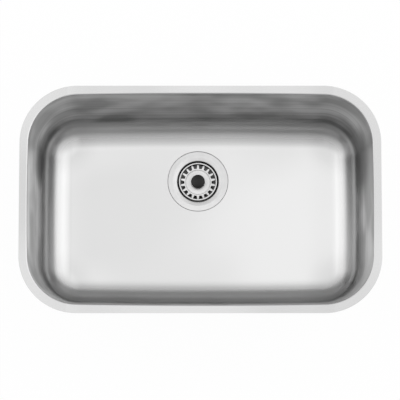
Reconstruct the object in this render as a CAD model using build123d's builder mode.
from build123d import *
import os
from math import cos, radians, tan

os.makedirs("parts", exist_ok=True)

# Undermount kitchen sink: one drawn stainless bowl with a basket strainer waste.
# Millimetres. The origin is the middle of the rim's top face, which is glued and
# clamped to the underside of the worktop. +Z is up, +Y is towards the wall behind
# the sink, and the person at the sink stands on the -Y side.

# ---------------------------------------------------------------- driving sizes
# Bowl
sheet = 1.0                  # stainless sheet of the bowl
rim_length = 660.0           # rim, left to right
rim_width = 418.0            # rim, front to back
rim_corner_radius = 105.0
rim_edge_break = 0.3         # deburred outer edge of the rim
rim_land = 14.75             # flat rim between its outer edge and the middle of a side
side_bow = 4.0               # how far each side of the mouth curves outwards
mouth_corner_radius = 90.0
mouth_bend = 3.0             # radius of the top face where the rim turns down into the wall
basin_depth = 200.0
wall_draft = 7.5             # degrees that the walls lean in towards the floor
floor_radius = 52.0          # sweep between walls and floor

# Waste hole and the pressed seat around it
waste_offset = -4.5          # left of the middle
hole_radius = 45.0
recess_depth = 2.8
recess_margin = 1.6          # floor left between the seat and the rear sweep
recess_bend = 0.8
flange_gap = 1.0             # around the strainer flange, inside the seat

# Strainer dish
flange_radius = 56.5
flange_land = 9.5            # flat outer ring of the flange, on its seal
flange_fall = 1.6            # fall from that ring in to the cup
flange_bend = 2.0
dish_sheet = 0.8
cup_mouth_radius = 39.0
cup_floor_radius = 37.4
cup_depth = 25.5
cup_mouth_bend = 2.0
cup_floor_bend = 4.0
well_radius = 21.0
well_depth = 6.0
well_bend = 1.2
drain_inner_radius = 10.5
drain_outer_radius = 18.5
drain_arm = 5.0
drain_count = 4

# Seals
flange_seal_height = 1.5
body_seal_height = 3.0
seal_margin = 1.0            # from the edge of what presses on it

# Waste body, under the bowl
body_wall = 3.0
body_flange_radius = 53.0
body_flange_height = 4.0
body_radius = 47.5
body_depth = 30.0            # straight chamber under the flange
funnel_height = 24.0
outlet_radius = 23.9         # G 1 1/2 thread, 47.8 mm across
outlet_length = 30.0
outlet_chamfer = 1.0
thread_pitch = 2.309
thread_depth = 1.2
thread_crest = 0.7           # flat left on each crest
thread_turns = 9
spider_drop = 3.2            # from the dish well down to the top of the boss
spider_arm = 3.0
spider_count = 4
boss_radius = 8.0
boss_floor = 2.0             # boss left below the tip of the screw

# Centre screw, M6, and its brass insert
screw_radius = 2.95
screw_tip = 4.0              # screw below the insert
screw_head_radius = 6.0
screw_head_height = 3.4
screw_chamfer = 0.7
screw_head_edge = 0.8
screw_slot_width = 1.6
screw_slot_depth = 1.8
insert_radius = 4.5
insert_height = 14.0
thread_fit = 0.05

# Blanked side inlet of the waste body
inlet_radius = 10.5
inlet_bore_radius = 8.0
inlet_reach = 18.0           # beyond the chamber wall
inlet_drop = 17.0            # axis below the top of the body flange
cap_wall = 2.0
cap_height = 11.0
cap_fit = 0.1
cap_seal_height = 2.0
cap_rib_radius = 1.2
cap_rib_count = 12

# Basket
basket_sheet = 0.7
lip_outer_radius = 36.2
lip_inner_radius = 33.4
lip_drop = 0.6               # lip below the cup mouth
lip_skirt = 1.8
lip_bend = 0.8
basket_depth = 9.5           # lip top to the plate
basket_fall = 1.2            # slotted ring, from the wall's foot to the plate
plate_radius = 25.4
basket_bend = 0.9
step_inset = 2.0             # from the plate's edge to the step that raises its middle
step_run = 0.8
step_height = 0.5
step_bend = 0.3
slot_count = 18
slot_inner_radius = 25.9
slot_inner_width = 4.4
slot_outer_width = 10.0
slot_corner_radius = 0.6
slot_band = 1.5              # solid band between the lip and the slots

# Plug under the basket, and its knob
knob_radius = 13.1
knob_height = 10.2
knob_waist_radius = 9.8
knob_waist_height = 4.2
knob_foot_radius = 11.2
knob_rim_height = 2.4
knob_edge = 1.5
knob_dish_depth = 1.6
peg_radius = 5.0             # top of the stem, pressed into the knob
peg_depth = 5.4
post_radius = 8.0
stem_flange_radius = 17.0
stem_flange_height = 2.4
socket_wall = 1.0
grip_height = 2.4            # rubber sleeve that grips the screw head
plug_seal_radius = 28.0
plug_seal_height = 3.0
push_washer_radius = 14.0
push_washer_height = 0.8
run_gap = 0.3                # between pieces that move past each other

# Sound-damping pads
pad_thickness = 3.0
pad_glue = 0.1
pad_corner_radius = 18.0
floor_pad_length = 150.0
floor_pad_width = 170.0
floor_pad_gap = 14.0         # between a floor pad and the waste body flange
wall_pad_length = 320.0
wall_pad_height = 85.0
end_pad_length = 150.0
wall_pad_drop = 42.0         # pad top edge below the rim

# ---------------------------------------------------------------- worked-out sizes
mouth_length = rim_length - 2 * rim_land
mouth_width = rim_width - 2 * rim_land
floor_z = -basin_depth
floor_half_width = mouth_width / 2 - basin_depth * tan(radians(wall_draft))
sweep_reach = floor_radius * tan(radians((90 - wall_draft) / 2))
recess_radius = flange_radius + flange_gap
waste_x = waste_offset
waste_y = floor_half_width - sweep_reach - recess_radius - recess_margin
waste_axis = Axis((waste_x, waste_y, 0), (0, 0, 1))
waste_section = Plane(origin=(waste_x, waste_y, 0), x_dir=(1, 0, 0), z_dir=(0, -1, 0))

recess_z = floor_z - recess_depth
flange_z = recess_z + flange_seal_height + dish_sheet
cup_mouth_z = flange_z - flange_fall
cup_floor_z = cup_mouth_z - cup_depth
well_z = cup_floor_z - well_depth
under_bowl_z = recess_z - sheet
body_top_z = under_bowl_z - body_seal_height
chamber_z = body_top_z - body_flange_height - body_depth
funnel_z = chamber_z - funnel_height
outlet_z = funnel_z - outlet_length
boss_top_z = well_z - dish_sheet - spider_drop
insert_z = boss_top_z - insert_height
screw_end_z = insert_z - screw_tip
boss_bottom_z = screw_end_z - boss_floor
inlet_z = body_top_z - inlet_drop
inlet_end = body_radius + inlet_reach
chamber_radius = body_radius - body_wall
outlet_bore_radius = outlet_radius - thread_depth - body_wall

lip_z = cup_mouth_z - lip_drop
plate_z = lip_z - basket_depth
crown_z = plate_z + step_height          # raised middle of the basket plate
shoulder_z = crown_z - basket_sheet - run_gap
knob_z = crown_z + run_gap
step_radius = plate_radius - step_inset
plug_seal_z = cup_floor_z + run_gap
stem_flange_z = plug_seal_z + plug_seal_height
stem_end_z = well_z + run_gap
socket_top_z = well_z + screw_head_height + 2 * run_gap
socket_radius = post_radius - socket_wall


# Blocks that stand on their lowest face
on_base = (Align.CENTER, Align.CENTER, Align.MIN)


# ---------------------------------------------------------------- shared forms
def basin_form(grow):
    """Solid with the outline of the basin, made larger all round by grow."""
    side = grow / cos(radians(wall_draft))
    half_length = mouth_length / 2 + side
    half_width = mouth_width / 2 + side
    corner_x = half_length - side_bow
    corner_y = half_width - side_bow
    with BuildPart() as form:
        with BuildSketch(Plane.XY) as mouth:
            with BuildLine():
                ThreePointArc((-corner_x, -corner_y), (0, -half_width), (corner_x, -corner_y))
                ThreePointArc((corner_x, -corner_y), (half_length, 0), (corner_x, corner_y))
                ThreePointArc((corner_x, corner_y), (0, half_width), (-corner_x, corner_y))
                ThreePointArc((-corner_x, corner_y), (-half_length, 0), (-corner_x, -corner_y))
            make_face()
            fillet(mouth.vertices(), radius=mouth_corner_radius + side)
        extrude(amount=-(basin_depth + grow), taper=wall_draft)
        fillet(form.faces().sort_by(Axis.Z)[0].edges(), radius=floor_radius + grow)
    return form.part


def turned(*points):
    """Solid turned round the waste axis, from (radius, height) points."""
    with BuildPart() as body:
        with BuildSketch(waste_section):
            with BuildLine():
                Polyline(*points, close=True)
            make_face()
        revolve(axis=waste_axis)
    return body.part


def pressed(points, bends, thickness):
    """Pressed sheet round the waste axis: its upper face follows the points."""
    with BuildPart() as body:
        with BuildSketch(waste_section):
            with BuildLine():
                FilletPolyline(*points, radius=bends)
                offset(amount=thickness, side=Side.LEFT)
            make_face()
        revolve(axis=waste_axis)
    return body.part


def ring(inner, outer, bottom, height):
    """Flat ring round the waste axis."""
    return turned((inner, bottom), (outer, bottom), (outer, bottom + height), (inner, bottom + height))


# ---------------------------------------------------------------- bowl
# Rim, walls and floor are one drawn sheet, with a stepped seat pressed for the waste.
with BuildPart() as bowl:
    with BuildSketch(Plane.XY.offset(-sheet)):
        RectangleRounded(rim_length, rim_width, rim_corner_radius)
    extrude(amount=sheet)
    fillet(bowl.edges().group_by(Axis.Z)[-1], radius=rim_edge_break)
    add(basin_form(sheet))
    rim_underside = bowl.faces().filter_by(Axis.Z).filter_by_position(Axis.Z, -sheet, -sheet)[0]
    fillet(rim_underside.inner_wires()[0].edges(), radius=mouth_bend - sheet)
    with Locations((waste_x, waste_y, under_bowl_z)):
        Cylinder(recess_radius + sheet, recess_depth + sheet, align=on_base)
    add(basin_form(0), mode=Mode.SUBTRACT)
    rim_top = bowl.faces().filter_by(Axis.Z).sort_by(Axis.Z)[-1]
    fillet(rim_top.inner_wires()[0].edges(), radius=mouth_bend)
    with Locations((waste_x, waste_y, recess_z)):
        Cylinder(recess_radius, recess_depth, align=on_base, mode=Mode.SUBTRACT)
    with Locations((waste_x, waste_y, under_bowl_z)):
        Cylinder(hole_radius, sheet, align=on_base, mode=Mode.SUBTRACT)
    recess_edges = bowl.edges().filter_by(GeomType.CIRCLE).filter_by_position(Axis.Z, floor_z, floor_z)
    fillet(recess_edges, radius=recess_bend)
bowl.part.label = "bowl"
export_step(bowl.part, "parts/bowl.step")


# ---------------------------------------------------------------- sound-damping pads
# Rubber sheets glued to the outside of the floor and walls. Each one is cut from a
# skin that lies on the bowl, so it follows the bowed walls and their lean.
with BuildPart() as pad_skin:
    add(basin_form(sheet + pad_glue + pad_thickness))
    add(basin_form(sheet + pad_glue), mode=Mode.SUBTRACT)


def pad(cut_plane, length, height, reach):
    """Part of the pad skin inside a rounded rectangle pushed out along a plane's normal."""
    with BuildPart() as piece:
        with BuildSketch(cut_plane):
            RectangleRounded(length, height, pad_corner_radius)
        extrude(amount=reach)
        add(pad_skin.part, mode=Mode.INTERSECT)
    return piece.part


wall_pad_z = -wall_pad_drop - wall_pad_height / 2
floor_pad_x = body_flange_radius + floor_pad_gap + floor_pad_length / 2
for side_name, side in (("left", -1), ("right", 1)):
    under = Plane((waste_x + side * floor_pad_x, 0, 0), z_dir=(0, 0, -1))
    floor_pad = pad(under, floor_pad_length, floor_pad_width, rim_length / 2)
    floor_pad.label = f"floor_pad_{side_name}"
    export_step(floor_pad, f"parts/{floor_pad.label}.step")

    end_face = Plane((0, 0, wall_pad_z), x_dir=(0, 1, 0), z_dir=(side, 0, 0))
    end_pad = pad(end_face, end_pad_length, wall_pad_height, rim_length / 2)
    end_pad.label = f"{side_name}_wall_pad"
    export_step(end_pad, f"parts/{end_pad.label}.step")

for side_name, side in (("front", -1), ("back", 1)):
    long_face = Plane((0, 0, wall_pad_z), x_dir=(1, 0, 0), z_dir=(0, side, 0))
    long_pad = pad(long_face, wall_pad_length, wall_pad_height, rim_length / 2)
    long_pad.label = f"{side_name}_wall_pad"
    export_step(long_pad, f"parts/{long_pad.label}.step")


# ---------------------------------------------------------------- strainer dish
# Pressed stainless dish: a flange in the bowl's seat, a cup for the basket, and a
# well with drain windows and a boss hole for the centre screw.
with BuildPart() as strainer_dish:
    add(pressed(
        [
            (flange_radius, flange_z),
            (flange_radius - flange_land, flange_z),
            (cup_mouth_radius, cup_mouth_z),
            (cup_floor_radius, cup_floor_z),
            (well_radius, cup_floor_z),
            (well_radius - well_bend, well_z),
            (screw_radius + run_gap, well_z),
        ],
        [flange_bend, cup_mouth_bend, cup_floor_bend, well_bend, well_bend],
        dish_sheet,
    ))
    with BuildSketch(Plane((waste_x, waste_y, well_z))) as drain:
        Circle(drain_outer_radius)
        Circle(drain_inner_radius, mode=Mode.SUBTRACT)
        with PolarLocations(0, drain_count):
            Rectangle(drain_outer_radius, drain_arm, align=(Align.MIN, Align.CENTER), mode=Mode.SUBTRACT)
    extrude(amount=-dish_sheet, mode=Mode.SUBTRACT)
strainer_dish.part.label = "strainer_dish"
export_step(strainer_dish.part, "parts/strainer_dish.step")

# ---------------------------------------------------------------- seals of the waste
flange_seal_inner = flange_radius - flange_land + flange_bend
with BuildPart() as flange_seal:
    add(ring(flange_seal_inner, flange_radius - seal_margin, recess_z, flange_seal_height))
flange_seal.part.label = "flange_seal"
export_step(flange_seal.part, "parts/flange_seal.step")

with BuildPart() as body_seal:
    add(ring(chamber_radius + seal_margin, body_flange_radius - seal_margin, body_top_z, body_seal_height))
body_seal.part.label = "body_seal"
export_step(body_seal.part, "parts/body_seal.step")

# ---------------------------------------------------------------- waste body
# Moulded plastic: a chamber under the bowl, a funnel, the threaded outlet, a spider
# that carries the screw boss, and a side inlet that is closed by a cap.
with BuildPart() as spider:
    with BuildSketch(Plane((waste_x, waste_y, boss_bottom_z))):
        Circle(boss_radius)
        with PolarLocations(0, spider_count):
            Rectangle(body_radius, spider_arm, align=(Align.MIN, Align.CENTER))
    extrude(amount=boss_top_z - boss_bottom_z)
    add(turned(
        (0, funnel_z),
        (outlet_bore_radius + body_wall / 2, funnel_z),
        (chamber_radius + body_wall / 2, chamber_z),
        (chamber_radius + body_wall / 2, body_top_z),
        (0, body_top_z),
    ), mode=Mode.INTERSECT)

with BuildPart() as waste_body:
    add(turned(
        (outlet_bore_radius, outlet_z),
        (outlet_radius - outlet_chamfer, outlet_z),
        (outlet_radius, outlet_z + outlet_chamfer),
        (outlet_radius, funnel_z),
        (body_radius, chamber_z),
        (body_radius, body_top_z - body_flange_height),
        (body_flange_radius, body_top_z - body_flange_height),
        (body_flange_radius, body_top_z),
        (chamber_radius, body_top_z),
        (chamber_radius, chamber_z),
        (outlet_bore_radius, funnel_z),
    ))
    for turn in range(thread_turns):
        groove_z = outlet_z + outlet_chamfer + thread_crest + turn * thread_pitch
        add(turned(
            (outlet_radius, groove_z),
            (outlet_radius - thread_depth, groove_z + (thread_pitch - thread_crest) / 2),
            (outlet_radius, groove_z + thread_pitch - thread_crest),
        ), mode=Mode.SUBTRACT)
    add(spider.part)
    inlet_plane = Plane(origin=(waste_x, waste_y, inlet_z), x_dir=(1, 0, 0), z_dir=(0, -1, 0))
    with BuildSketch(inlet_plane.offset(body_radius - body_wall / 2)):
        Circle(inlet_radius)
    extrude(amount=inlet_reach + body_wall / 2)
    with BuildSketch(inlet_plane):
        Circle(inlet_bore_radius)
    extrude(amount=inlet_end, mode=Mode.SUBTRACT)
    add(ring(0, insert_radius, insert_z, insert_height), mode=Mode.SUBTRACT)
    add(ring(0, screw_radius + run_gap, boss_bottom_z, insert_z - boss_bottom_z), mode=Mode.SUBTRACT)
waste_body.part.label = "waste_body"
export_step(waste_body.part, "parts/waste_body.step")

with BuildPart() as screw_insert:
    add(ring(screw_radius + thread_fit, insert_radius, insert_z, insert_height))
screw_insert.part.label = "screw_insert"
export_step(screw_insert.part, "parts/screw_insert.step")

with BuildPart() as centre_screw:
    add(ring(0, screw_radius, screw_end_z, well_z - screw_end_z))
    chamfer(centre_screw.edges().group_by(Axis.Z)[0], length=screw_chamfer)
    add(ring(0, screw_head_radius, well_z, screw_head_height))
    fillet(centre_screw.edges().group_by(Axis.Z)[-1], radius=screw_head_edge)
    with Locations((waste_x, waste_y, well_z + screw_head_height)):
        Box(2 * screw_head_radius, screw_slot_width, 2 * screw_slot_depth, mode=Mode.SUBTRACT)
centre_screw.part.label = "centre_screw"
export_step(centre_screw.part, "parts/centre_screw.step")

# ---------------------------------------------------------------- inlet cap
cap_radius = inlet_radius + cap_fit + cap_wall
cap_end = inlet_end + cap_seal_height + cap_wall
with BuildPart() as inlet_cap:
    with BuildSketch(inlet_plane.offset(cap_end - cap_height)):
        Circle(cap_radius)
        with PolarLocations(cap_radius, cap_rib_count):
            Circle(cap_rib_radius)
    extrude(amount=cap_height)
    with BuildSketch(inlet_plane.offset(cap_end - cap_height)):
        Circle(inlet_radius + cap_fit)
    extrude(amount=cap_height - cap_wall, mode=Mode.SUBTRACT)
inlet_cap.part.label = "inlet_cap"
export_step(inlet_cap.part, "parts/inlet_cap.step")

with BuildPart() as inlet_cap_seal:
    with BuildSketch(inlet_plane.offset(inlet_end)):
        Circle(inlet_radius)
    extrude(amount=cap_seal_height)
inlet_cap_seal.part.label = "inlet_cap_seal"
export_step(inlet_cap_seal.part, "parts/inlet_cap_seal.step")

# ---------------------------------------------------------------- basket
# Pressed stainless: a curled lip, an upright wall, a slotted ring that falls a little
# towards the middle, and a flat plate. The slots run up into the wall.
with BuildPart() as basket:
    add(pressed(
        [
            (lip_outer_radius, lip_z - lip_skirt),
            (lip_outer_radius, lip_z),
            (lip_inner_radius, lip_z),
            (lip_inner_radius, plate_z + basket_fall),
            (plate_radius, plate_z),
            (step_radius + step_run / 2, plate_z),
            (step_radius - step_run / 2, crown_z),
            (peg_radius + run_gap, crown_z),
        ],
        [lip_bend, lip_bend, basket_bend, basket_bend, step_bend, step_bend],
        basket_sheet,
    ))
    slot_end = lip_inner_radius + 2 * basket_sheet
    with BuildSketch(Plane((waste_x, waste_y, plate_z - 2 * basket_sheet))):
        for slot in range(slot_count):
            with BuildSketch(mode=Mode.PRIVATE) as wedge:
                with BuildLine():
                    Polyline(
                        (slot_inner_radius, -slot_inner_width / 2),
                        (slot_end, -slot_outer_width / 2),
                        (slot_end, slot_outer_width / 2),
                        (slot_inner_radius, slot_inner_width / 2),
                        close=True,
                    )
                make_face()
                fillet(wedge.vertices().group_by(Axis.X)[0], radius=slot_corner_radius)
            with Locations(Rotation(0, 0, slot * 360 / slot_count)):
                add(wedge.sketch)
    extrude(amount=basket_depth - slot_band + basket_sheet, mode=Mode.SUBTRACT)
basket.part.label = "basket"
export_step(basket.part, "parts/basket.step")

# ---------------------------------------------------------------- plug and knob
with BuildPart() as plug_stem:
    add(turned(
        (0, socket_top_z),
        (socket_radius, socket_top_z),
        (socket_radius, stem_end_z),
        (post_radius, stem_end_z),
        (post_radius, stem_flange_z),
        (stem_flange_radius, stem_flange_z),
        (stem_flange_radius, stem_flange_z + stem_flange_height),
        (post_radius, stem_flange_z + stem_flange_height),
        (post_radius, shoulder_z),
        (peg_radius, shoulder_z),
        (peg_radius, knob_z + peg_depth),
        (0, knob_z + peg_depth),
    ))
plug_stem.part.label = "plug_stem"
export_step(plug_stem.part, "parts/plug_stem.step")

with BuildPart() as plug_seal:
    add(ring(post_radius, plug_seal_radius, plug_seal_z, plug_seal_height))
plug_seal.part.label = "plug_seal"
export_step(plug_seal.part, "parts/plug_seal.step")

with BuildPart() as push_washer:
    add(ring(post_radius, push_washer_radius, plug_seal_z - push_washer_height, push_washer_height))
push_washer.part.label = "push_washer"
export_step(push_washer.part, "parts/push_washer.step")

with BuildPart() as grip_sleeve:
    add(ring(screw_head_radius + run_gap, socket_radius, stem_end_z, grip_height))
grip_sleeve.part.label = "grip_sleeve"
export_step(grip_sleeve.part, "parts/grip_sleeve.step")

knob_top_z = knob_z + knob_height
knob_rim_z = knob_top_z - knob_rim_height
dish_half_width = knob_radius - knob_edge
dish_sphere_radius = (dish_half_width**2 + knob_dish_depth**2) / (2 * knob_dish_depth)
with BuildPart() as knob:
    with BuildSketch(waste_section):
        with BuildLine():
            ThreePointArc(
                (knob_foot_radius, knob_z),
                (knob_waist_radius, knob_z + knob_waist_height),
                (knob_radius, knob_rim_z),
            )
            Polyline(
                (knob_radius, knob_rim_z),
                (knob_radius, knob_top_z),
                (0, knob_top_z),
                (0, knob_z + peg_depth),
                (peg_radius, knob_z + peg_depth),
                (peg_radius, knob_z),
                (knob_foot_radius, knob_z),
            )
        make_face()
    revolve(axis=waste_axis)
    fillet(knob.edges().group_by(Axis.Z)[-1], radius=knob_edge)
    with Locations((waste_x, waste_y, knob_top_z - knob_dish_depth + dish_sphere_radius)):
        Sphere(dish_sphere_radius, mode=Mode.SUBTRACT)
knob.part.label = "knob"
export_step(knob.part, "parts/knob.step")
